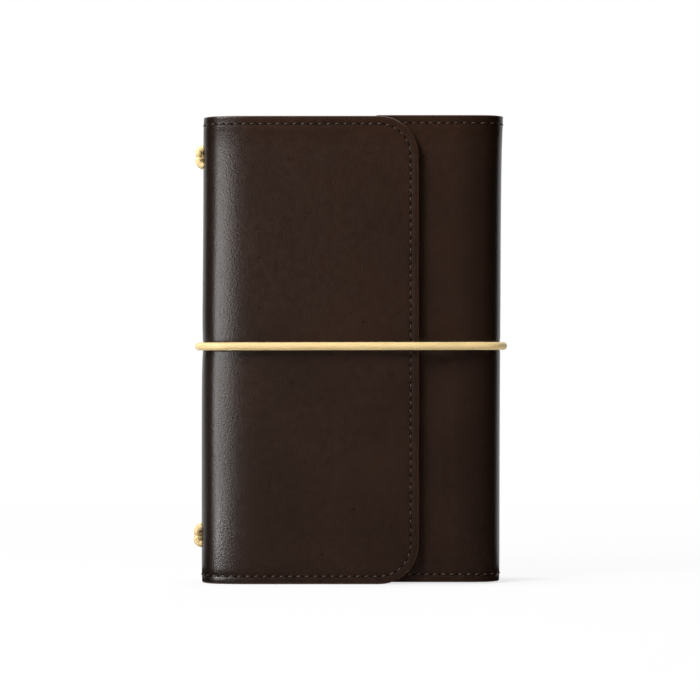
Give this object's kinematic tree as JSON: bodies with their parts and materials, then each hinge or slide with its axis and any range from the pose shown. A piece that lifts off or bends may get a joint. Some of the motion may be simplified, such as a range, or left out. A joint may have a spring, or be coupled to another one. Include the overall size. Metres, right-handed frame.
{
  "type": "refillable leather wrap journal",
  "caption": "Refillable leather wrap journal with a stitched cover, a wrap flap, an elastic closure cord and booklets held by knotted cords.",
  "frame": {"origin": "middle of the closed journal's footprint, on the surface that its tail edge stands on", "axes": "+Z from tail to head, +X from spine to fore-edge, -Y towards the viewer of the front panel"},
  "size_m": [0.116, 0.0304, 0.171],
  "materials": {
    "cover_leather": "smooth semi-matt with a fine grain",
    "lining_leather": "matt",
    "elastic_cord": "matt braided",
    "booklet_card": "matt",
    "booklet_paper": "matt",
    "staple_wire": "bright wire"
  },
  "bodies": {
    "root": {"back_panel_leather": "cover_leather", "back_panel_lining": "lining_leather", "closure_cord": "elastic_cord"},
    "spine": {"spine_leather": "cover_leather", "spine_lining": "lining_leather", "head_knot": "elastic_cord", "tail_knot": "elastic_cord", "closure_knot": "elastic_cord", "front_retaining_cord": "elastic_cord", "rear_retaining_cord": "elastic_cord"},
    "front_cover": {"front_panel_leather": "cover_leather", "front_panel_lining": "lining_leather"},
    "fore_edge": {"fore_edge_leather": "cover_leather", "fore_edge_lining": "lining_leather"},
    "wrap_flap": {"wrap_flap_leather": "cover_leather", "wrap_flap_lining": "lining_leather"},
    "front_booklet": {"front_booklet_card": "booklet_card", "front_booklet_pages": "booklet_paper", "front_booklet_staple_head": "staple_wire", "front_booklet_staple_tail": "staple_wire"},
    "rear_booklet": {"rear_booklet_card": "booklet_card", "rear_booklet_pages": "booklet_paper", "rear_booklet_staple_head": "staple_wire", "rear_booklet_staple_tail": "staple_wire"}
  },
  "joints": [
    {"name": "spine_fold", "type": "hinge", "parent": "root", "child": "spine", "pos_m": [-0.05216, 0.00936, 0], "axis": [0, 0, -1], "range_deg": [0, 90], "deforming": ["closure_cord"]},
    {"name": "front_cover_fold", "type": "hinge", "parent": "spine", "child": "front_cover", "pos_m": [-0.05216, -0.00936, 0], "axis": [0, 0, -1], "range_deg": [0, 90]},
    {"name": "front_booklet_turn", "type": "hinge", "parent": "spine", "child": "front_booklet", "pos_m": [-0.04315, -0.00245, 0], "axis": [0, 0, -1], "range_deg": [0, 93], "deforming": ["front_booklet_card", "front_booklet_pages"]},
    {"name": "rear_booklet_turn", "type": "hinge", "parent": "spine", "child": "rear_booklet", "pos_m": [-0.04315, 0.00535, 0], "axis": [0, 0, 1], "range_deg": [0, 93]},
    {"name": "fore_edge_fold", "type": "hinge", "parent": "root", "child": "fore_edge", "pos_m": [0.05216, 0.00936, 0], "axis": [0, 0, 1], "range_deg": [0, 90]},
    {"name": "wrap_flap_fold", "type": "hinge", "parent": "fore_edge", "child": "wrap_flap", "pos_m": [0.05246, -0.00676, 0], "axis": [0, 0, 1], "range_deg": [0, 90]}
  ],
  "couplings": [
    {"joint": "front_cover_fold", "follows": "spine_fold", "ratio": 1},
    {"joint": "front_booklet_turn", "follows": "spine_fold", "ratio": 1.03},
    {"joint": "rear_booklet_turn", "follows": "spine_fold", "ratio": 1.03},
    {"joint": "fore_edge_fold", "follows": "spine_fold", "ratio": 1},
    {"joint": "wrap_flap_fold", "follows": "spine_fold", "ratio": 1}
  ]
}
